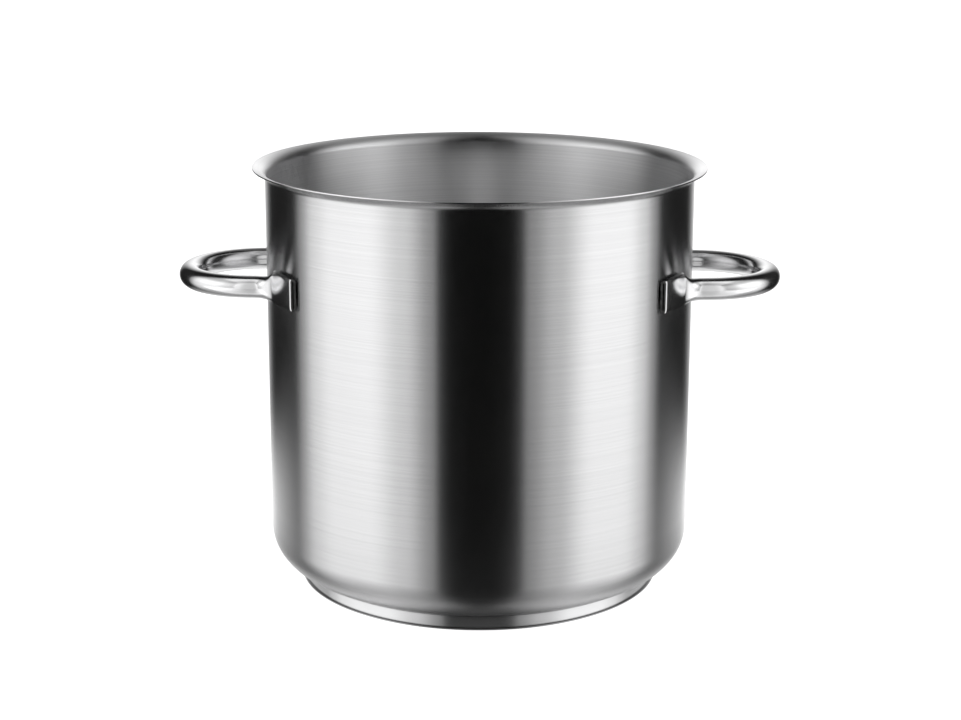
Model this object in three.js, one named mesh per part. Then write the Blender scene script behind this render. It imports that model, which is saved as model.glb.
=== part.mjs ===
// Stock pot: a deep straight-sided vessel with a flared pouring rim, a sandwich base (aluminium
// core inside a steel cap) and two tube handles whose flattened ends are spot-welded to the wall.
// Millimetres, +Z up. The origin is the middle of the base's underside, the handles lie along X.
import * as THREE from "three";

// Vessel
const innerRadius = 160;
const sheet = 1;
const wallRadius = innerRadius + sheet;
const rimHeight = 319;
const floorHeight = 11;
const cornerRadius = 30;
const flareReach = 9.5;
const flareRise = 7;
const flareTurn = THREE.MathUtils.degToRad(75);

// Sandwich base
const capRadius = 138.5;
const capSheet = 1;
const capFillet = 2.5;
const capHeight = 11.4;
const fit = 0.3;

// Handles: a round tube pressed flat at both ends, its ends turned outward along the wall
const gripHeight = 236;
const earRise = 3.4;
const earFlare = 4.3;
const pressEase = 2.2;
const tubeRadius = 8.4;
const tubeWall = 1.5;
const gripRadius = 53;
const gripReach = 228.4;
const slit = 0.3;
const earGap = 1;
const earTip = 95.9;
const outerFillet = 18.8;
const innerFillet = 14;

// Spot welds between each ear and the wall
const weldRadius = 3;
const weldThickness = 0.4;
const weldPlace = 84;
const weldSpread = 15;
const weldRise = 11;

// Facets
const roundSegments = 64;
const tubeSides = 16;
const weldSides = 12;

const earThickness = 2 * tubeWall + slit;
const earInnerRadius = wallRadius + earGap;
const earOuterRadius = earInnerRadius + earThickness;
const gripCentreX = gripReach - gripRadius - tubeRadius;
const quarterTurn = Math.PI / 2;

function brushedSteel() {
  return new THREE.MeshStandardMaterial({ color: 0xb9babb, roughness: 0.35, metalness: 1 });
}

function polishedSteel() {
  return new THREE.MeshStandardMaterial({ color: 0xc9cacc, roughness: 0.08, metalness: 1 });
}

function rawAluminium() {
  return new THREE.MeshStandardMaterial({ color: 0xc2c4c6, roughness: 0.5, metalness: 1 });
}

function weldedSteel() {
  return new THREE.MeshStandardMaterial({ color: 0x8f8d8a, roughness: 0.55, metalness: 1 });
}

// Numbers evenly spread from one value to another, both ends included
function spread(from, to, steps) {
  return Array.from({ length: steps + 1 }, (_, i) => from + ((to - from) * i) / steps);
}

// Turns an outline of radius and height about +Z
function revolve(outline, segments) {
  const geometry = new THREE.LatheGeometry(outline, segments);
  geometry.rotateX(quarterTurn);
  return geometry;
}

function arcPoints(centreX, centreY, radius, fromAngle, toAngle, steps) {
  return spread(fromAngle, toAngle, steps).map(
    (angle) => new THREE.Vector2(centreX + radius * Math.cos(angle), centreY + radius * Math.sin(angle)),
  );
}

// One face of the vessel's sheet, from the axis to the rim's edge. The corner and the flare are
// offset from the outer face by the depth into the sheet.
function vesselFace(depth) {
  const corner = arcPoints(
    wallRadius - cornerRadius,
    floorHeight + cornerRadius,
    cornerRadius - depth,
    -quarterTurn,
    0,
    7,
  );
  const flareWidth = flareReach / (1 - Math.cos(flareTurn));
  const flareHeight = flareRise / Math.sin(flareTurn);
  const flare = spread(0, flareTurn, 6).map((angle) => {
    const outward = new THREE.Vector2(flareHeight * Math.cos(angle), -flareWidth * Math.sin(angle));
    outward.normalize();
    return new THREE.Vector2(
      wallRadius + flareWidth * (1 - Math.cos(angle)) - depth * outward.x,
      rimHeight - flareRise + flareHeight * Math.sin(angle) - depth * outward.y,
    );
  });
  return [new THREE.Vector2(0, floorHeight + depth), ...corner, ...flare];
}

function potShell() {
  const outline = [...vesselFace(0), ...vesselFace(sheet).reverse()];
  return new THREE.Mesh(revolve(outline, roundSegments), brushedSteel());
}

// A dish under the core, its rim standing just clear of the vessel's corner
function baseCap() {
  const outer = arcPoints(capRadius - capFillet, capFillet, capFillet, -quarterTurn, 0, 4);
  const inner = arcPoints(capRadius - capFillet, capFillet, capFillet - capSheet, 0, -quarterTurn, 3);
  const outline = [
    new THREE.Vector2(0, 0),
    ...outer,
    new THREE.Vector2(capRadius, capHeight),
    new THREE.Vector2(capRadius - capSheet, capHeight),
    ...inner,
    new THREE.Vector2(0, capSheet),
  ];
  return new THREE.Mesh(revolve(outline, roundSegments), polishedSteel());
}

// The heat-spreading disc inside the cap, its lower edge bevelled to clear the cap's fillet
function coreDisc() {
  const radius = capRadius - capSheet - fit;
  const bevel = capFillet - capSheet;
  const bottom = capSheet + fit;
  const top = floorHeight - fit;
  const outline = [
    new THREE.Vector2(0, bottom),
    new THREE.Vector2(radius - bevel, bottom),
    new THREE.Vector2(radius, bottom + bevel),
    new THREE.Vector2(radius, top),
    new THREE.Vector2(0, top),
  ];
  return new THREE.Mesh(revolve(outline, roundSegments), rawAluminium());
}

// Where a fillet touching a leg at -legY and the wall circle of the given radius has its centre
function filletCentre(legY, fillet, wallCircle) {
  const y = -(legY + fillet);
  const x = Math.sqrt((wallCircle + fillet) ** 2 - y ** 2);
  return new THREE.Vector2(x, y);
}

// One edge of the handle seen from above, on the -Y side, in three stretches: the grip, the bend
// that lands on the wall, and the ear along the wall.
function handleEdge(legY, fillet, wallCircle, earStart) {
  const centre = filletCentre(legY, fillet, wallCircle);
  const landing = Math.atan2(centre.y, centre.x);
  const grip = new THREE.Path();
  grip.absarc(gripCentreX, 0, legY, 0, -quarterTurn, true);
  grip.lineTo(centre.x, -legY);
  const bend = new THREE.Path();
  bend.absarc(centre.x, centre.y, fillet, quarterTurn, Math.PI + landing, false);
  if (earStart < landing) {
    bend.absarc(0, 0, wallCircle, landing, earStart, true);
  }
  const ear = new THREE.Path();
  ear.absarc(0, 0, wallCircle, earStart, -Math.asin(earTip / wallCircle), true);
  return [grip, bend, ear];
}

// Sections along half the handle, from the middle of the grip to the ear's tip: the two edge
// points that each section joins
function handleSections() {
  const outerCentre = filletCentre(gripRadius + tubeRadius, outerFillet, earOuterRadius);
  const earStart = Math.atan2(outerCentre.y, outerCentre.x);
  const outer = handleEdge(gripRadius + tubeRadius, outerFillet, earOuterRadius, earStart);
  const inner = handleEdge(gripRadius - tubeRadius, innerFillet, earInnerRadius, earStart);
  const steps = [10, 8, 4];
  const sections = [];
  steps.forEach((count, stretch) => {
    spread(0, 1, count).forEach((along, i) => {
      if (stretch === 0 || i > 0) {
        sections.push([outer[stretch].getPointAt(along), inner[stretch].getPointAt(along)]);
      }
    });
  });
  return sections;
}

// A point on a round tube pressed flat, which has straight sides and half-round ends. The angle
// runs all round in step with the distance along the skin.
function pressedPoint(halfThickness, halfHeight, angle) {
  const straight = halfHeight - halfThickness;
  const quarterLength = straight + quarterTurn * halfThickness;
  const folded = Math.asin(Math.abs(Math.sin(angle)));
  const travelled = (folded / quarterTurn) * quarterLength;
  const round = Math.max(0, travelled - straight) / halfThickness;
  const across = halfThickness * Math.cos(round);
  const upward = Math.min(travelled, straight) + halfThickness * Math.sin(round);
  return [Math.sign(Math.cos(angle)) * across, Math.sign(Math.sin(angle)) * upward];
}

// The tube starts as a straight pipe turned about its axis, one ring of vertices for each section.
// Each ring is carried to its section and pressed to that section's width, and the flatter it is
// pressed, the taller it spreads and the higher it sits.
function handleGeometry() {
  const half = handleSections();
  const mirrored = half.slice(1).map(([outer, inner]) => [
    new THREE.Vector2(outer.x, -outer.y),
    new THREE.Vector2(inner.x, -inner.y),
  ]);
  const sections = [...mirrored.reverse(), ...half];
  const last = sections.length - 1;
  const boreRadius = 1;
  const skinRadius = 2;
  const skin = spread(0, last, last).map((i) => new THREE.Vector2(skinRadius, i));
  const bore = spread(last, 0, last).map((i) => new THREE.Vector2(boreRadius, i));
  const geometry = new THREE.LatheGeometry([...skin, ...bore, skin[0].clone()], tubeSides);
  const position = geometry.attributes.position;
  for (let i = 0; i < position.count; i += 1) {
    const [outer, inner] = sections[Math.round(position.getY(i))];
    const angle = Math.atan2(position.getX(i), position.getZ(i));
    const isBore = Math.hypot(position.getX(i), position.getZ(i)) < (boreRadius + skinRadius) / 2;
    const halfThickness = outer.distanceTo(inner) / 2;
    const flatness = (tubeRadius - halfThickness) / (tubeRadius - earThickness / 2);
    const pressed = Math.max(0, flatness) ** pressEase;
    const halfHeight = tubeRadius + earFlare * pressed;
    const depth = isBore ? tubeWall : 0;
    const [across, upward] = pressedPoint(halfThickness - depth, halfHeight - depth, angle);
    const outward = outer.clone().sub(inner).normalize();
    const centre = outer.clone().add(inner).multiplyScalar(0.5);
    const place = centre.addScaledVector(outward, across);
    position.setXYZ(i, place.x, place.y, gripHeight + earRise * pressed + upward);
  }
  geometry.computeVertexNormals();
  return geometry;
}

function handle(turn) {
  const mesh = new THREE.Mesh(handleGeometry(), polishedSteel());
  mesh.rotation.z = turn;
  return mesh;
}

// One nugget between the wall and an ear, flat faces towards both
function spotWeld(angle, height) {
  const geometry = new THREE.CylinderGeometry(weldRadius, weldRadius, weldThickness, weldSides);
  geometry.rotateZ(quarterTurn);
  const mesh = new THREE.Mesh(geometry, weldedSteel());
  const radius = wallRadius + earGap / 2;
  mesh.position.set(radius * Math.cos(angle), radius * Math.sin(angle), height);
  mesh.rotation.z = angle;
  return mesh;
}

const stockPot = new THREE.Group();

function place(name, mesh) {
  mesh.name = name;
  stockPot.add(mesh);
}

place("pot_shell", potShell());
place("core_disc", coreDisc());
place("base_cap", baseCap());
place("right_handle", handle(0));
place("left_handle", handle(Math.PI));

const weldAngle = Math.asin(weldPlace / wallRadius);
const ears = [
  { name: "right_front", angle: -weldAngle },
  { name: "right_rear", angle: weldAngle },
  { name: "left_front", angle: Math.PI + weldAngle },
  { name: "left_rear", angle: Math.PI - weldAngle },
];
for (const ear of ears) {
  let number = 1;
  for (const side of [-0.5, 0.5]) {
    for (const level of [-0.5, 0.5]) {
      const angle = ear.angle + (side * weldSpread) / wallRadius;
      const height = gripHeight + earRise + level * weldRise;
      place(`spot_weld_${ear.name}_${number}`, spotWeld(angle, height));
      number += 1;
    }
  }
}

export default stockPot;
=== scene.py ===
from math import asin, atan2, cos, hypot, pi, radians, sin, sqrt

import bmesh
import bpy
from mathutils import Matrix, Vector


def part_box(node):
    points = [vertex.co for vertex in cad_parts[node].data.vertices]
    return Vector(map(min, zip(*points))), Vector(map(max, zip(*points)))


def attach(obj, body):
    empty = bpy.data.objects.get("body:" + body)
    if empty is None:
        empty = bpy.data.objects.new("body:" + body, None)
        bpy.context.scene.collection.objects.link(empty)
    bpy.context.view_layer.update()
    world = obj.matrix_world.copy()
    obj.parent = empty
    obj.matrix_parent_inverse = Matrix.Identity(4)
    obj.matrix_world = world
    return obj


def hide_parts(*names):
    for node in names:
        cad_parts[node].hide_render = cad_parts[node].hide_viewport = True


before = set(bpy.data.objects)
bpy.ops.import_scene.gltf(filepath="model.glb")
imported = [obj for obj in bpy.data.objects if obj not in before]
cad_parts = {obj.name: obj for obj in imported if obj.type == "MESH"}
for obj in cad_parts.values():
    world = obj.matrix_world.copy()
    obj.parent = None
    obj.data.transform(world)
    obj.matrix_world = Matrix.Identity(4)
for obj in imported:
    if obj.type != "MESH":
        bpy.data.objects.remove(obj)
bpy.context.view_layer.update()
print("frame loaded:", len(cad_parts), "nodes")

mm = 0.001
upAxis = Vector((0, 0, 1))
white = (1, 1, 1, 1)
scene = bpy.context.scene
scene.view_settings.view_transform = "Standard"
scene.cycles.glossy_bounces = 6     # light gets to the pot's floor by bouncing down its walls

# The frame gives the sizes that the visual pieces share with the solids
shellLow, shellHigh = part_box("pot_shell")
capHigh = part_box("base_cap")[1]
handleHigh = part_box("right_handle")[1]

viewSettings = {
    "distance": 1.529,
    "height": 0.559,
    "turn": 0.6,        # degrees round the pot, towards the right handle
    "pitch": 14.36,     # degrees down
    "roll": 0.16,       # degrees
    "lens": 76.8,
    "sensor": 36,
    "shiftX": 0.0013,
}


def makeCamera(look):
    camera = bpy.data.objects.new("camera", bpy.data.cameras.new("camera"))
    scene.collection.objects.link(camera)
    camera.data.sensor_width = look["sensor"]
    camera.data.lens = look["lens"]
    camera.data.shift_x = look["shiftX"]
    swing = Matrix.Rotation(radians(look["turn"]), 4, "Z")
    aim = swing @ Matrix.Rotation(radians(90 - look["pitch"]), 4, "X")
    roll = Matrix.Rotation(radians(look["roll"]), 4, "Z")
    stand = swing @ Vector((0, -look["distance"], look["height"]))
    camera.matrix_world = Matrix.Translation(stand) @ aim @ roll
    scene.camera = camera
    print("camera placed")


def grey(level):
    return (level, level, level, 1)


def addNode(tree, kind, at=(0, 0), **values):
    node = tree.nodes.new(kind)
    node.location = at
    for name, value in values.items():
        setattr(node, name, value)
    return node


# Each input is a number or another node's socket
def mathNode(tree, operation, first, second=None, third=None, at=(0, 0), clamp=False):
    node = addNode(tree, "ShaderNodeMath", at, operation=operation, use_clamp=clamp)
    for socket, value in zip(node.inputs, (first, second, third)):
        if isinstance(value, (int, float)):
            socket.default_value = value
        elif value is not None:
            tree.links.new(value, socket)
    return node.outputs[0]


# Levels of grey at places from 0 to 1
def rampNode(tree, factor, stops, at=(0, 0), ease="EASE"):
    node = addNode(tree, "ShaderNodeValToRGB", at)
    ramp = node.color_ramp
    ramp.interpolation = ease
    while len(ramp.elements) < len(stops):
        ramp.elements.new(1.0)
    for element, (place, level) in zip(ramp.elements, stops):
        element.position = place
        element.color = grey(level)
    tree.links.new(factor, node.inputs["Fac"])
    return node.outputs["Color"]


# A soft step from one level to another
def rangeNode(tree, value, source, target, at=(0, 0)):
    node = addNode(tree, "ShaderNodeMapRange", at, interpolation_type="SMOOTHSTEP")
    for name, number in zip(("From Min", "From Max", "To Min", "To Max"), (*source, *target)):
        node.inputs[name].default_value = number
    tree.links.new(value, node.inputs["Value"])
    return node.outputs["Result"]


def newMaterial(name):
    material = bpy.data.materials.new(name)
    material.use_nodes = True
    return material, material.node_tree, material.node_tree.nodes["Principled BSDF"]


# Soft boxes stand on both sides, with a dark flag in front, and a sweep behind is bright near the
# horizon. Each stop is a bearing in degrees from the front, and the light's strength there. A fade
# gives the heights between which the light comes in and goes out, and its share below and above.
studio = {
    "right": ((0, 0.001), (17, 0.002), (22, 0.03), (27, 0.3), (42, 0.6), (64, 1.2), (86, 1.2),
              (98, 0.85), (106, 0.4), (113, 0.03), (124, 0.015), (180, 0.015)),
    "left": ((0, 0.001), (15, 0.002), (20, 0.03), (24, 0.32), (40, 0.8), (60, 1.2), (84, 1.15),
             (98, 0.9), (108, 0.4), (115, 0.03), (124, 0.015), (180, 0.015)),
    "boxGain": 1.26,
    "boxFade": {"comesIn": (-0.1, 0.3), "below": 0.8, "goesOut": (0.4, 0.75), "above": 0.45},
    "sweep": 1.15,
    "sweepFrom": 146,
    "sweepTo": 182,
    "sweepFade": {"comesIn": (-0.75, -0.35), "below": 0.05, "goesOut": (0.35, 0.75), "above": 0.1},
    "strength": 1.15,
    "backdrop": 1.0,
}


# How strong a light is at each height, which is the sine of the elevation
def heightFade(tree, height, fade, at):
    low = rangeNode(tree, height, fade["comesIn"], (fade["below"], 1.0), at=at)
    high = rangeNode(tree, height, fade["goesOut"], (1.0, fade["above"]), at=(at[0], at[1] - 250))
    return mathNode(tree, "MULTIPLY", low, high, at=(at[0] + 200, at[1]))


def makeWorld(look):
    world = bpy.data.worlds.new("studio")
    scene.world = world
    world.use_nodes = True
    tree = world.node_tree
    tree.nodes.clear()
    place = addNode(tree, "ShaderNodeTexCoord", (-1400, 0))
    axes = addNode(tree, "ShaderNodeSeparateXYZ", (-1200, 0))
    tree.links.new(place.outputs["Generated"], axes.inputs[0])
    height = axes.outputs["Z"]
    frontward = mathNode(tree, "MULTIPLY", axes.outputs["Y"], -1.0, at=(-1000, -100))
    bearing = mathNode(tree, "ARCTAN2", axes.outputs["X"], frontward, at=(-800, 0))
    share = mathNode(tree, "DIVIDE", mathNode(tree, "ABSOLUTE", bearing, at=(-600, 0)), pi, at=(-450, 0))

    # The soft boxes, each on its own side
    onRight = mathNode(tree, "GREATER_THAN", bearing, 0.0, at=(-450, 250))
    onLeft = mathNode(tree, "SUBTRACT", 1.0, onRight, at=(-250, 250))
    rightBox = rampNode(tree, share, [(angle / 180, level) for angle, level in look["right"]], (-250, 550))
    leftBox = rampNode(tree, share, [(angle / 180, level) for angle, level in look["left"]], (-250, 0))
    rightBox = mathNode(tree, "MULTIPLY", rightBox, onRight, at=(100, 500))
    leftBox = mathNode(tree, "MULTIPLY", leftBox, onLeft, at=(100, 200))
    boxes = mathNode(tree, "ADD", rightBox, leftBox, at=(300, 300))
    boxFade = heightFade(tree, height, look["boxFade"], (-250, -300))
    boxes = mathNode(tree, "MULTIPLY", boxes, boxFade, at=(500, 200))
    boxes = mathNode(tree, "MULTIPLY", boxes, look["boxGain"], at=(600, 200))

    # The sweep behind the pot
    sweepBearing = (look["sweepFrom"] / 180, look["sweepTo"] / 180)
    sweep = rangeNode(tree, share, sweepBearing, (0.0, look["sweep"]), at=(100, -100))
    sweepFade = heightFade(tree, height, look["sweepFade"], (-250, -800))
    sweep = mathNode(tree, "MULTIPLY", sweep, sweepFade, at=(500, -100))

    # The camera sees a plain white backdrop, and everything else is lit by the studio
    lit = addNode(tree, "ShaderNodeBackground", (900, 0))
    lit.inputs["Strength"].default_value = look["strength"]
    tree.links.new(mathNode(tree, "ADD", boxes, sweep, at=(700, 0)), lit.inputs["Color"])
    seen = addNode(tree, "ShaderNodeBackground", (900, -200))
    seen.inputs["Strength"].default_value = look["backdrop"]
    seen.inputs["Color"].default_value = white
    rays = addNode(tree, "ShaderNodeLightPath", (700, 400))
    pick = addNode(tree, "ShaderNodeMixShader", (1100, 0))
    tree.links.new(rays.outputs["Is Camera Ray"], pick.inputs[0])
    tree.links.new(lit.outputs[0], pick.inputs[1])
    tree.links.new(seen.outputs[0], pick.inputs[2])
    out = addNode(tree, "ShaderNodeOutputWorld", (1300, 0))
    tree.links.new(pick.outputs[0], out.inputs["Surface"])
    print("studio lit")


# Three soft panels, in front, overhead and on the plinth, light only the handles, past the flag
# that darkens the wall
handlePanels = (
    {"width": 1.9, "height": 1.6, "place": (0, -1.3, 0.81), "tilt": 90, "power": 8.1},
    {"width": 1.9, "height": 1.3, "place": (0, -0.65, 1.6), "tilt": 0, "power": 3.6},
    {"width": 1.9, "height": 1.23, "place": (0, -0.735, 0.01), "tilt": 180, "power": 5.2},
)
# A narrow strip in the pot's mouth runs from front to back, and looks down
mouthPanel = {"width": 0.03, "height": 0.26, "place": (0, 0, 0.31), "tilt": 0, "power": 0.018}


# Soft panels that light only the given pieces, and that the camera doesn't see
def makePanels(name, panels, pieces):
    lit = bpy.data.collections.new("lit_by_" + name)
    for piece in pieces:
        lit.objects.link(piece)
    for look in panels:
        light = bpy.data.lights.new(name, "AREA")
        light.shape = "RECTANGLE"
        light.size = look["width"]
        light.size_y = look["height"]
        light.energy = look["power"]
        panel = bpy.data.objects.new(name, light)
        panel.visible_camera = False
        tilt = Matrix.Rotation(radians(look["tilt"]), 4, "X")
        panel.matrix_world = Matrix.Translation(look["place"]) @ tilt
        scene.collection.objects.link(panel)
        panel.light_linking.receiver_collection = lit
    print("placed", name + ":", len(panels))


floorLook = {
    "size": 6.0,
    "squares": 8,
    "colour": 0.8,
    "roughness": 0.9,
    "glow": 0.9,
}


# Pale paper that the pot's reflections don't show
def makeFloor(look):
    mesh = bmesh.new()
    bmesh.ops.create_grid(mesh, x_segments=look["squares"], y_segments=look["squares"], size=look["size"])
    floor = newObject("studio_floor", mesh)
    floor.visible_glossy = False
    material, _, shader = newMaterial("palePaper")
    shader.inputs["Base Color"].default_value = grey(look["colour"])
    shader.inputs["Roughness"].default_value = look["roughness"]
    shader.inputs["Emission Color"].default_value = white
    shader.inputs["Emission Strength"].default_value = look["glow"]
    floor.data.materials.append(material)
    print("floor laid")


plinthLook = {
    "radius": 1.0,
    "sides": 96,
    "roughness": 0.15,
    # Light from the sweep on the plinth, with the distances out over which it fades, and the
    # places from front to back between which it starts
    "spill": 1.3,
    "spillFade": (0.12, 0.62),
    "spillStart": (-0.12, 0.25),
    # Glow round the pot's foot against the distance out, and how it falls to a share of itself
    # in the middle, between these distances to the side. The glow is painted light, and its dark
    # ring where the foot meets the plinth is a painted contact shadow
    "foot": ((0.0, 0.9), (0.139, 0.9), (0.141, 0.0), (0.1434, 0.0), (0.1446, 0.5), (0.16, 0.4),
             (0.175, 0.1), (0.26, 0.08), (0.34, 0.0)),
    "footSide": (0.02, 0.09),
    "footMiddle": 0.15,
    # How much the plinth reflects against the distance out, which ends where the glow does.
    # It is nil under the pot and round its foot, which is painted shade
    "shineWithShadow": ((0.0, 0.0), (0.1434, 0.0), (0.1446, 0.55), (0.2, 0.55), (0.34, 0.72)),
}


# The pot stands on a shiny plinth that only its reflections show. Its glow is painted light,
# with a painted contact shadow round the pot's foot
def makePlinth(look):
    mesh = bmesh.new()
    bmesh.ops.create_circle(mesh, cap_ends=True, segments=look["sides"], radius=look["radius"])
    plinth = newObject("studio_plinth", mesh)
    plinth.visible_camera = False
    plinth.visible_diffuse = False
    plinth.visible_shadow = False
    material, tree, shader = newMaterial("shinyPlinth")
    shader.inputs["Metallic"].default_value = 1.0
    shader.inputs["Roughness"].default_value = look["roughness"]
    shader.inputs["Emission Color"].default_value = white
    place = addNode(tree, "ShaderNodeTexCoord", (-1200, -200))
    axes = addNode(tree, "ShaderNodeSeparateXYZ", (-1000, -300))
    reach = addNode(tree, "ShaderNodeVectorMath", (-1000, -100), operation="LENGTH")
    tree.links.new(place.outputs["Object"], axes.inputs[0])
    tree.links.new(place.outputs["Object"], reach.inputs[0])
    distance = reach.outputs["Value"]
    near = rangeNode(tree, distance, look["spillFade"], (look["spill"], 0.0), at=(-800, -100))
    back = rangeNode(tree, axes.outputs["Y"], look["spillStart"], (0.0, 1.0), at=(-800, -350))
    spill = mathNode(tree, "MULTIPLY", near, back, at=(-550, -200))

    # The glow is painted light with a painted contact shadow ring; the shine paints shade under the pot
    footReach = look["foot"][-1][0]
    out = mathNode(tree, "DIVIDE", distance, footReach, at=(-800, 150))
    glowAndShadowStops = [(radius / footReach, glow) for radius, glow in look["foot"]]
    foot = rampNode(tree, out, glowAndShadowStops, (-600, 250), "LINEAR")
    sideways = mathNode(tree, "ABSOLUTE", axes.outputs["X"], at=(-800, 450))
    aside = rangeNode(tree, sideways, look["footSide"], (look["footMiddle"], 1.0), at=(-600, 450))
    foot = mathNode(tree, "MULTIPLY", foot, aside, at=(-400, 350))
    tree.links.new(mathNode(tree, "ADD", spill, foot, at=(-350, 0)), shader.inputs["Emission Strength"])

    shineWithShadowStops = [(radius / footReach, shineWithShadow) for radius, shineWithShadow in look["shineWithShadow"]]
    tree.links.new(rampNode(tree, out, shineWithShadowStops, (-600, 700), "LINEAR"), shader.inputs["Base Color"])
    plinth.data.materials.append(material)
    print("plinth laid")


# For the fine lines and for the broad streaks: the share of the fineness, and the noise's roughness
brushLayers = ((1.0, 0.55), (0.13, 0.45))


# Fine lines left by a brush or belt as the piece turns under it. They run round Z, and their
# spacing follows the distance up the wall or out along a flat face.
def makeBrush():
    group = bpy.data.node_groups.new("turnedBrush", "ShaderNodeTree")
    face = group.interface
    for name, value in (("Fineness", 900.0), ("Run", 5.0), ("Depth", 0.5)):
        face.new_socket(name, in_out="INPUT", socket_type="NodeSocketFloat").default_value = value
    for name in ("Lines", "Broad"):
        face.new_socket(name, in_out="OUTPUT", socket_type="NodeSocketFloat")
    given = addNode(group, "NodeGroupInput", (-1200, 0))
    out = addNode(group, "NodeGroupOutput", (900, 0))
    place = addNode(group, "ShaderNodeTexCoord", (-1200, 300))
    axes = addNode(group, "ShaderNodeSeparateXYZ", (-1000, 300))
    group.links.new(place.outputs["Object"], axes.inputs[0])
    across = mathNode(group, "MULTIPLY", axes.outputs["X"], axes.outputs["X"], at=(-800, 400))
    along = mathNode(group, "MULTIPLY", axes.outputs["Y"], axes.outputs["Y"], at=(-800, 250))
    outward = mathNode(group, "SQRT", mathNode(group, "ADD", across, along, at=(-600, 300)), at=(-450, 300))
    travel = mathNode(group, "ADD", outward, axes.outputs["Z"], at=(-300, 300))
    layers = []
    for share, roughness in brushLayers:
        spacing = mathNode(group, "MULTIPLY", given.outputs["Fineness"], share)
        scaled = ((axes.outputs["X"], given.outputs["Run"]), (axes.outputs["Y"], given.outputs["Run"]),
                  (travel, spacing))
        turned = addNode(group, "ShaderNodeCombineXYZ", (0, 300))
        for socket, (way, scale) in zip(turned.inputs, scaled):
            group.links.new(mathNode(group, "MULTIPLY", way, scale), socket)
        noise = addNode(group, "ShaderNodeTexNoise", (200, 300))
        noise.inputs["Scale"].default_value = 1.0
        noise.inputs["Detail"].default_value = 3.0
        noise.inputs["Roughness"].default_value = roughness
        group.links.new(turned.outputs[0], noise.inputs["Vector"])
        layers.append(noise.outputs["Fac"])
    fine, broad = layers
    deep = mathNode(group, "MULTIPLY", mathNode(group, "SUBTRACT", fine, 0.5), given.outputs["Depth"])
    group.links.new(mathNode(group, "ADD", deep, 0.5, clamp=True), out.inputs["Lines"])
    group.links.new(broad, out.inputs["Broad"])
    return group


patchEdges = (0.35, 0.7)    # the noise levels between which a patch comes in


# Soft uneven patches left by handling and wiping, about the size of a thumb or a cloth's pass
def makePatches():
    group = bpy.data.node_groups.new("wipedPatches", "ShaderNodeTree")
    face = group.interface
    for name, value in (("Scale", 9.0), ("Low", 0.1), ("High", 0.2)):
        face.new_socket(name, in_out="INPUT", socket_type="NodeSocketFloat").default_value = value
    face.new_socket("Value", in_out="OUTPUT", socket_type="NodeSocketFloat")
    given = addNode(group, "NodeGroupInput", (-600, 0))
    out = addNode(group, "NodeGroupOutput", (600, 0))
    place = addNode(group, "ShaderNodeTexCoord", (-600, 300))
    noise = addNode(group, "ShaderNodeTexNoise", (-200, 200))
    noise.inputs["Detail"].default_value = 4.0
    group.links.new(place.outputs["Object"], noise.inputs["Vector"])
    group.links.new(given.outputs["Scale"], noise.inputs["Scale"])
    spread = addNode(group, "ShaderNodeMapRange", (100, 0), interpolation_type="SMOOTHSTEP")
    spread.inputs["From Min"].default_value = patchEdges[0]
    spread.inputs["From Max"].default_value = patchEdges[1]
    group.links.new(noise.outputs["Fac"], spread.inputs["Value"])
    group.links.new(given.outputs["Low"], spread.inputs["To Min"])
    group.links.new(given.outputs["High"], spread.inputs["To Max"])
    group.links.new(spread.outputs["Result"], out.inputs["Value"])
    return group


turnedBrush = makeBrush()
wipedPatches = makePatches()


def groupNode(tree, group, at, **values):
    node = addNode(tree, "ShaderNodeGroup", at, node_tree=group)
    for name, value in values.items():
        node.inputs[name].default_value = value
    return node


# The colour runs from the look's shade to its tint
def mixTones(tree, shader, factor, look):
    tone = addNode(tree, "ShaderNodeMix", (-600, 300), data_type="RGBA")
    tints = [socket for socket in tone.inputs if socket.type == "RGBA"]
    tints[0].default_value = (*look["shade"], 1)
    tints[1].default_value = (*look["tint"], 1)
    tree.links.new(factor, tone.inputs["Factor"])
    mixed = [socket for socket in tone.outputs if socket.type == "RGBA"]
    tree.links.new(mixed[0], shader.inputs["Base Color"])


def addBump(tree, shader, height, look):
    bump = addNode(tree, "ShaderNodeBump", (-400, -300))
    bump.inputs["Strength"].default_value = look["bump"]
    bump.inputs["Distance"].default_value = look["bumpDepth"]
    tree.links.new(height, bump.inputs["Height"])
    tree.links.new(bump.outputs["Normal"], shader.inputs["Normal"])


# Metal that is brushed or polished as it turns about Z. Its tangent is the cross product of Z
# with the place, which follows the lines, and a quarter turn stretches highlights across them.
def turnedMetal(name, look):
    material, tree, shader = newMaterial(name)
    shader.inputs["Metallic"].default_value = 1.0
    shader.inputs["Anisotropic"].default_value = look["anisotropic"]
    shader.inputs["Anisotropic Rotation"].default_value = 0.25
    place = addNode(tree, "ShaderNodeTexCoord", (-1400, -400))
    around = addNode(tree, "ShaderNodeVectorMath", (-1200, -400), operation="CROSS_PRODUCT")
    around.inputs[0].default_value = upAxis
    tree.links.new(place.outputs["Object"], around.inputs[1])
    unit = addNode(tree, "ShaderNodeVectorMath", (-1000, -400), operation="NORMALIZE")
    tree.links.new(around.outputs[0], unit.inputs[0])
    tree.links.new(unit.outputs[0], shader.inputs["Tangent"])
    brush = groupNode(tree, turnedBrush, (-1200, 200), Fineness=look["fineness"], Run=look["run"],
                      Depth=look["depth"])
    wipe = groupNode(tree, wipedPatches, (-1200, -100), Scale=look["patch"], Low=look["smooth"],
                     High=look["rough"])
    mixTones(tree, shader, brush.outputs["Lines"], look)
    uneven = mathNode(tree, "MULTIPLY_ADD", brush.outputs["Broad"], look["streak"], wipe.outputs["Value"],
                      at=(-700, 0))
    tree.links.new(uneven, shader.inputs["Roughness"])
    addBump(tree, shader, brush.outputs["Lines"], look)
    return material


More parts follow.
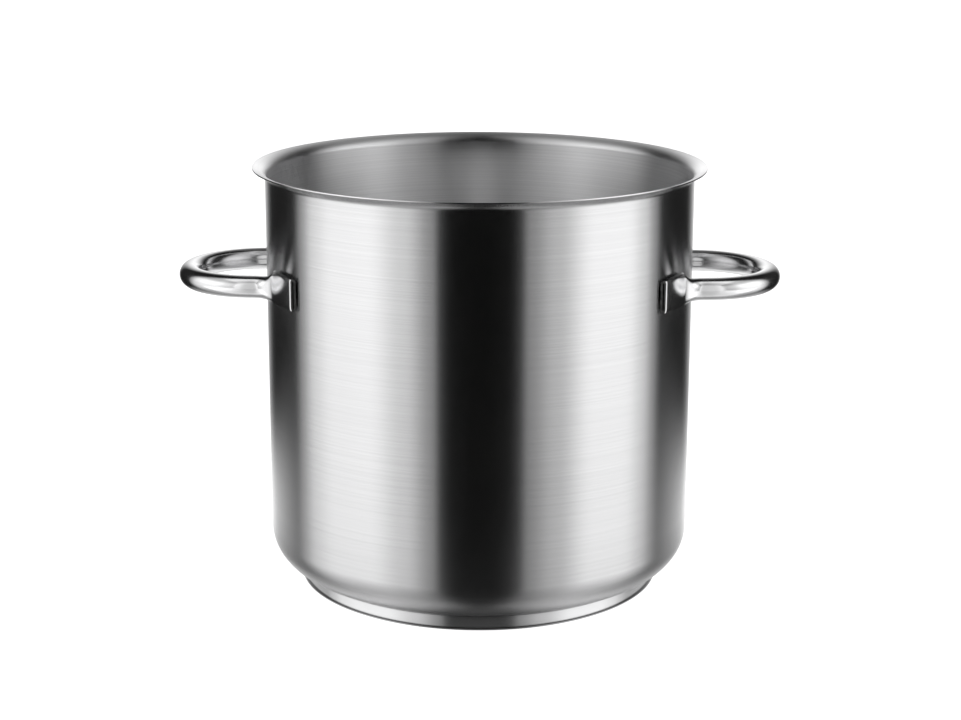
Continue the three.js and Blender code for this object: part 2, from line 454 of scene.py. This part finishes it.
# The vessel's outside
satinLook = {
    "shade": (0.61, 0.61, 0.615),
    "tint": (0.76, 0.76, 0.765),
    "anisotropic": 1.0,
    "smooth": 0.20,
    "rough": 0.23,
    "streak": 0.012,
    "patch": 5.0,
    "fineness": 1500.0,
    "run": 2.0,
    "depth": 1.0,
    "bump": 0.016,
    "bumpDepth": 0.00002,
}
# What differs inside the vessel. Its lighter tint is painted light, making up for light lost
# on the bounces down the walls
insideLook = {
    "shade": (0.62, 0.62, 0.625),
    "tint": (0.82, 0.82, 0.825),
    "smooth": 0.30,
    "rough": 0.33,
    "streak": 0.03,
    "fineness": 1100.0,
    "bump": 0.13,
}
# The dish under the base
capLook = {
    "shade": (0.58, 0.58, 0.585),
    "tint": (0.68, 0.68, 0.685),
    "anisotropic": 0.5,
    "smooth": 0.10,
    "rough": 0.13,
    "streak": 0.03,
    "patch": 7.0,
    "fineness": 2500.0,
    "run": 9.0,
    "depth": 0.8,
    "bump": 0.05,
    "bumpDepth": 0.00001,
}


# Rolled, pressed or cast metal with no direction: the tubes, the core and the weld nuggets
def plainMetal(name, look):
    material, tree, shader = newMaterial(name)
    shader.inputs["Metallic"].default_value = 1.0
    wipe = groupNode(tree, wipedPatches, (-900, 0), Scale=look["patch"], Low=look["smooth"],
                     High=look["rough"])
    tree.links.new(wipe.outputs["Value"], shader.inputs["Roughness"])
    mottle = groupNode(tree, wipedPatches, (-900, 300), Scale=look["mottle"], Low=0.0, High=1.0)
    mixTones(tree, shader, mottle.outputs["Value"], look)
    grain = addNode(tree, "ShaderNodeTexNoise", (-900, -300))
    grain.inputs["Scale"].default_value = look["grain"]
    grain.inputs["Detail"].default_value = 3.0
    place = addNode(tree, "ShaderNodeTexCoord", (-1100, -300))
    tree.links.new(place.outputs["Object"], grain.inputs["Vector"])
    addBump(tree, shader, grain.outputs["Fac"], look)
    return material


tubeLook = {
    "shade": (0.64, 0.64, 0.645),
    "tint": (0.72, 0.72, 0.725),
    "smooth": 0.13,
    "rough": 0.17,
    "patch": 22.0,
    "mottle": 40.0,
    "grain": 260.0,
    "bump": 0.03,
    "bumpDepth": 0.0002,
}
coreLook = {
    "shade": (0.66, 0.67, 0.68),
    "tint": (0.78, 0.79, 0.80),
    "smooth": 0.42,
    "rough": 0.55,
    "patch": 30.0,
    "mottle": 90.0,
    "grain": 900.0,
    "bump": 0.3,
    "bumpDepth": 0.0002,
}
weldLook = {
    "shade": (0.30, 0.29, 0.28),
    "tint": (0.52, 0.51, 0.50),
    "smooth": 0.45,
    "rough": 0.7,
    "patch": 300.0,
    "mottle": 500.0,
    "grain": 2500.0,
    "bump": 0.5,
    "bumpDepth": 0.0002,
}
# What differs from a weld on the tube's cut end. Its near-black colour is painted shade
cutShadeLook = {
    "shade": (0.03, 0.03, 0.03),
    "tint": (0.08, 0.08, 0.08),
    "smooth": 0.35,
    "rough": 0.5,
}

creaseAngle = radians(32)   # a smooth piece stays crisp along edges that bend more than this
mergeGap = 0.02 * mm


def newObject(name, mesh, smooth=False):
    for edge in mesh.edges:
        edge.smooth = smooth and edge.calc_face_angle(0) < creaseAngle
    for face in mesh.faces:
        face.smooth = smooth
    data = bpy.data.meshes.new(name)
    mesh.to_mesh(data)
    mesh.free()
    piece = bpy.data.objects.new(name, data)
    scene.collection.objects.link(piece)
    return piece


def finishPiece(piece, materials, slot, *nodes):
    for material in materials:
        piece.data.materials.append(material)
    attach(piece, "root")
    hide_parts(*nodes)
    print("made", piece.name, "with", len(piece.data.polygons), "faces")


# A chain of edges through points of radius and height, spun once about Z
def spinProfile(points, steps, closed):
    mesh = bmesh.new()
    corners = [mesh.verts.new((radius, 0, height)) for radius, height in points]
    for start, end in zip(corners, corners[1:]):
        mesh.edges.new((start, end))
    if closed:
        mesh.edges.new((corners[-1], corners[0]))
    bmesh.ops.spin(mesh, geom=mesh.verts[:] + mesh.edges[:], cent=(0, 0, 0), axis=upAxis, angle=2 * pi,
                   steps=steps, use_merge=True, use_duplicate=False)
    bmesh.ops.remove_doubles(mesh, verts=mesh.verts[:], dist=mergeGap)
    bmesh.ops.recalc_face_normals(mesh, faces=mesh.faces[:])
    return mesh


def arc(centreR, centreZ, radius, fromAngle, toAngle, steps):
    angles = [fromAngle + (toAngle - fromAngle) * i / steps for i in range(steps + 1)]
    return [(centreR + radius * cos(a), centreZ + radius * sin(a)) for a in angles]


vessel = {
    "wallRadius": 161 * mm,
    "sheet": 1 * mm,
    "cornerRadius": 30 * mm,
    "flareReach": 9.5 * mm,
    "flareRise": 7 * mm,
    "flareTurn": 75,        # degrees
    "rimShare": 0.97,       # how much of the sheet's thickness stands upright at the flared rim
    "rimBevel": 0.3 * mm,
    "rimZone": 2 * mm,      # below the top, where edges are the rim's
    "rimSharp": 60,         # degrees, which only the rim's two edges bend
    "floorRings": (40 * mm, 90 * mm),
    "floorFacing": 0.9,     # faces that point up more than this have the inside's finish
    "cornerSteps": 20,
    "wallSteps": 8,
    "flareSteps": 14,
    "turnSteps": 240,
}


# The section of the sheet's outer face, or of the face that lies at a depth inside it: the floor,
# the round corner, the wall, and a quarter of an ellipse that flares to the rim
def vesselFace(look, depth):
    wall = look["wallRadius"]
    corner = look["cornerRadius"]
    floorZ = shellLow.z
    rimZ = shellHigh.z - look["sheet"] * look["rimShare"]
    turn = radians(look["flareTurn"])
    flareWidth = look["flareReach"] / (1 - cos(turn))
    flareHeight = look["flareRise"] / sin(turn)
    top = rimZ - look["flareRise"]
    foot = floorZ + corner
    points = [(radius, floorZ + depth) for radius in (0.0, *look["floorRings"])]
    points += arc(wall - corner, foot, corner - depth, -pi / 2, 0, look["cornerSteps"])
    for i in range(1, look["wallSteps"]):
        points.append((wall - depth, foot + (top - foot) * i / look["wallSteps"]))
    for i in range(look["flareSteps"] + 1):
        angle = turn * i / look["flareSteps"]
        outward = Vector((flareHeight * cos(angle), -flareWidth * sin(angle))).normalized()
        points.append((wall + flareWidth * (1 - cos(angle)) - depth * outward.x,
                       top + flareHeight * sin(angle) - depth * outward.y))
    return points


# Faces that look at the pot's axis, and its floor, have the second finish, whose lighter tint is
# painted light
def makeVessel(look):
    points = vesselFace(look, 0) + vesselFace(look, look["sheet"])[::-1]
    mesh = spinProfile(points, look["turnSteps"], closed=False)
    for face in mesh.faces:
        outward = face.calc_center_median() * Vector((1, 1, 0))
        face.material_index = int(face.normal.dot(outward) < 0 or face.normal.z > look["floorFacing"])
    rimEdges = [edge for edge in mesh.edges if edge.calc_face_angle(0) > radians(look["rimSharp"])
                and min(vert.co.z for vert in edge.verts) > shellHigh.z - look["rimZone"]]
    bmesh.ops.bevel(mesh, geom=rimEdges, offset=look["rimBevel"], offset_type="OFFSET", affect="EDGES",
                    segments=2, profile=0.5, material=-1)
    return newObject("vessel_body", mesh, smooth=True)


cap = {
    "sheet": 1 * mm,
    "fillet": 2.5 * mm,
    "lip": 0.25 * mm,
    "floorRing": 70 * mm,
    "outerSteps": 8,
    "innerSteps": 6,
    "turnSteps": 240,
}


# A shallow dish with a rounded foot and a small chamfer on its lip
def makeCap(look):
    radius = capHigh.x
    sheet = look["sheet"]
    fillet = look["fillet"]
    outer = arc(radius - fillet, fillet, fillet, -pi / 2, 0, look["outerSteps"])
    inner = arc(radius - fillet, fillet, fillet - sheet, 0, -pi / 2, look["innerSteps"])
    points = [(0.0, 0.0), (look["floorRing"], 0.0), *outer, (radius, capHigh.z - look["lip"])]
    points += [(radius - look["lip"], capHigh.z), (radius - sheet, capHigh.z), *inner]
    points += [(look["floorRing"], sheet), (0.0, sheet)]
    mesh = spinProfile(points, look["turnSteps"], closed=False)
    return newObject("base_dish", mesh, smooth=True)


# A round tube whose ends are pressed flat and turned outward along the wall
tube = {
    "radius": 8.4 * mm,
    "wall": 1.5 * mm,
    "slit": 0.3 * mm,       # left between the pressed walls
    "earGap": 1 * mm,
    "earTip": 95.9 * mm,
    "earRise": 3.4 * mm,
    "earFlare": 4.3 * mm,
    "pressEase": 2.2,
    "gripRadius": 53 * mm,
    "gripHeight": 236 * mm,
    "outerFillet": 18.8 * mm,
    "innerFillet": 14 * mm,
    "easing": 14,           # rounds of averaging that let the straight run into the curves
    "cutBevel": 0.3 * mm,
    "cutSharp": 40,         # degrees, which only the cut end's edges bend
    "cutSlack": 0.01 * mm,
    "gripSteps": 44,
    "bendSteps": 36,
    "earSteps": 16,
    "sides": 32,
}
# The straight pipe that each handle starts as has these radii, to tell its skin from its bore
pipeSkin = 2.0
pipeBore = 1.0
sameBearing = 1e-6      # radians


# A path of straight lines and arcs in plan, walked by its length
def walkPath(pieces, share):
    lengths = [piece[0] for piece in pieces]
    left = share * sum(lengths)
    for length, point in pieces:
        if left <= length or (length, point) == pieces[-1]:
            return point(min(left / length, 1) if length > 0 else 0)
        left -= length


def arcPiece(centre, radius, fromAngle, toAngle):
    def point(t):
        angle = fromAngle + (toAngle - fromAngle) * t
        return Vector((centre[0] + radius * cos(angle), centre[1] + radius * sin(angle)))
    return (radius * abs(toAngle - fromAngle), point)


def linePiece(start, end):
    start, end = Vector(start), Vector(end)
    return ((end - start).length, lambda t: start.lerp(end, t))


# Where a fillet that touches a leg and the wall has its centre
def filletCentre(legY, fillet, wall):
    y = -(legY + fillet)
    return Vector((sqrt((wall + fillet) ** 2 - y ** 2), y))


# One edge of the handle from above, on the front side: the grip, the bend and the ear
def handleEdge(look, legY, fillet, wall, earStart):
    centre = filletCentre(legY, fillet, wall)
    landing = atan2(centre.y, centre.x)
    gripX = handleHigh.x - look["gripRadius"] - look["radius"]
    grip = [arcPiece((gripX, 0), legY, 0, -pi / 2), linePiece((gripX, -legY), (centre.x, -legY))]
    bend = [arcPiece(centre, fillet, pi / 2, pi + landing)]
    if earStart < landing - sameBearing:
        bend.append(arcPiece((0, 0), wall, landing, earStart))
    ear = [arcPiece((0, 0), wall, earStart, -asin(look["earTip"] / wall))]
    return grip, bend, ear


# The two edge points that each section of the tube joins, from one ear's tip to the other
def handleSections(look):
    earInner = vessel["wallRadius"] + look["earGap"]
    earOuter = earInner + 2 * look["wall"] + look["slit"]
    outerLeg = look["gripRadius"] + look["radius"]
    outerCentre = filletCentre(outerLeg, look["outerFillet"], earOuter)
    earStart = atan2(outerCentre.y, outerCentre.x)
    outer = handleEdge(look, outerLeg, look["outerFillet"], earOuter, earStart)
    inner = handleEdge(look, outerLeg - 2 * look["radius"], look["innerFillet"], earInner, earStart)
    half = []
    for stretch, count in enumerate((look["gripSteps"], look["bendSteps"], look["earSteps"])):
        for i in range(1 if half else 0, count + 1):
            half.append((walkPath(outer[stretch], i / count), walkPath(inner[stretch], i / count)))
    flip = Vector((1, -1))
    whole = [(a * flip, b * flip) for a, b in half[:0:-1]] + half
    for _ in range(look["easing"]):
        middle = [tuple((before[k] + 2 * here[k] + after[k]) / 4 for k in (0, 1))
                  for before, here, after in zip(whole, whole[1:], whole[2:])]
        whole = [whole[0], *middle, whole[-1]]
    return whole


# A point on a tube pressed flat: straight sides and half-round ends, in step round the skin
def pressedPoint(halfThickness, halfHeight, angle):
    straight = halfHeight - halfThickness
    quarter = straight + pi / 2 * halfThickness
    travelled = asin(min(1, abs(sin(angle)))) / (pi / 2) * quarter
    rounding = max(0, travelled - straight) / halfThickness
    across = halfThickness * cos(rounding)
    upward = min(travelled, straight) + halfThickness * sin(rounding)
    return across * (1 if cos(angle) >= 0 else -1), upward * (1 if sin(angle) >= 0 else -1)


# A straight pipe is spun about Z with one ring for each section, and each ring is carried to
# its section and pressed to that section's width
def makeHandle(name, look, turn):
    sections = handleSections(look)
    last = len(sections) - 1
    skin = [(pipeSkin, float(i)) for i in range(last + 1)]
    bore = [(pipeBore, float(i)) for i in range(last, -1, -1)]
    mesh = spinProfile(skin + bore, look["sides"], closed=True)
    flatHalf = look["wall"] + look["slit"] / 2
    for vert in mesh.verts:
        outer, inner = sections[round(vert.co.z)]
        angle = atan2(vert.co.y, vert.co.x)
        onBore = hypot(vert.co.x, vert.co.y) < (pipeSkin + pipeBore) / 2
        depth = look["wall"] if onBore else 0
        halfThickness = (outer - inner).length / 2
        flatness = (look["radius"] - halfThickness) / (look["radius"] - flatHalf)
        pressed = max(0, flatness) ** look["pressEase"]
        halfHeight = look["radius"] + look["earFlare"] * pressed
        across, upward = pressedPoint(halfThickness - depth, halfHeight - depth, angle)
        spot = (outer + inner) / 2 + (outer - inner).normalized() * across
        vert.co = (spot.x, spot.y, look["gripHeight"] + look["earRise"] * pressed + upward)
    bmesh.ops.recalc_face_normals(mesh, faces=mesh.faces[:])

    # The cut ends have the second finish, near black as painted shade, and a bevel on the edge
    # that faces away from the pot
    tipY = look["earTip"] - look["cutSlack"]
    for face in mesh.faces:
        face.material_index = int(all(abs(vert.co.y) > tipY for vert in face.verts))
    outerWall = vessel["wallRadius"] + look["earGap"] + look["wall"] + look["slit"] + look["wall"] / 2
    cutEdges = [edge for edge in mesh.edges if edge.calc_face_angle(0) > radians(look["cutSharp"])
                and all(abs(vert.co.y) > tipY and vert.co.xy.length > outerWall for vert in edge.verts)]
    bmesh.ops.bevel(mesh, geom=cutEdges, offset=look["cutBevel"], offset_type="OFFSET", affect="EDGES",
                    segments=1, profile=0.5, material=0)
    bmesh.ops.rotate(mesh, verts=mesh.verts[:], cent=(0, 0, 0), matrix=Matrix.Rotation(turn, 3, "Z"))
    return newObject(name, mesh, smooth=True)


def recoat(node, material):
    node.data.materials.clear()
    node.data.materials.append(material)


makeCamera(viewSettings)
makeWorld(studio)
makeFloor(floorLook)
makePlinth(plinthLook)

satinSteel = turnedMetal("satinSteel", satinLook)
satinInside = turnedMetal("satinInside", {**satinLook, **insideLook})
turnedPolish = turnedMetal("turnedPolish", capLook)
polishedTube = plainMetal("polishedTube", tubeLook)
rawCore = plainMetal("rawCore", coreLook)
weldSteel = plainMetal("weldSteel", weldLook)
# The cut end's near-black colour is painted shade
shadedCutEnd = plainMetal("shadedCutEnd", {**weldLook, **cutShadeLook})
print("finishes made")

body = makeVessel(vessel)
finishPiece(body, [satinSteel, satinInside], "satin_steel", "pot_shell")
finishPiece(makeCap(cap), [turnedPolish], "polished_steel", "base_cap")
handles = [makeHandle("handle_right", tube, 0), makeHandle("handle_left", tube, pi)]
finishPiece(handles[0], [polishedTube, shadedCutEnd], "polished_steel", "right_handle")
finishPiece(handles[1], [polishedTube, shadedCutEnd], "polished_steel", "left_handle")
makePanels("handle_panel", handlePanels, handles)
makePanels("mouth_panel", [mouthPanel], [body])

for name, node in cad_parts.items():
    if name == "core_disc":
        recoat(node, rawCore)
    elif name.startswith("spot_weld"):
        recoat(node, weldSteel)
print("finishes given to the core and the welds")
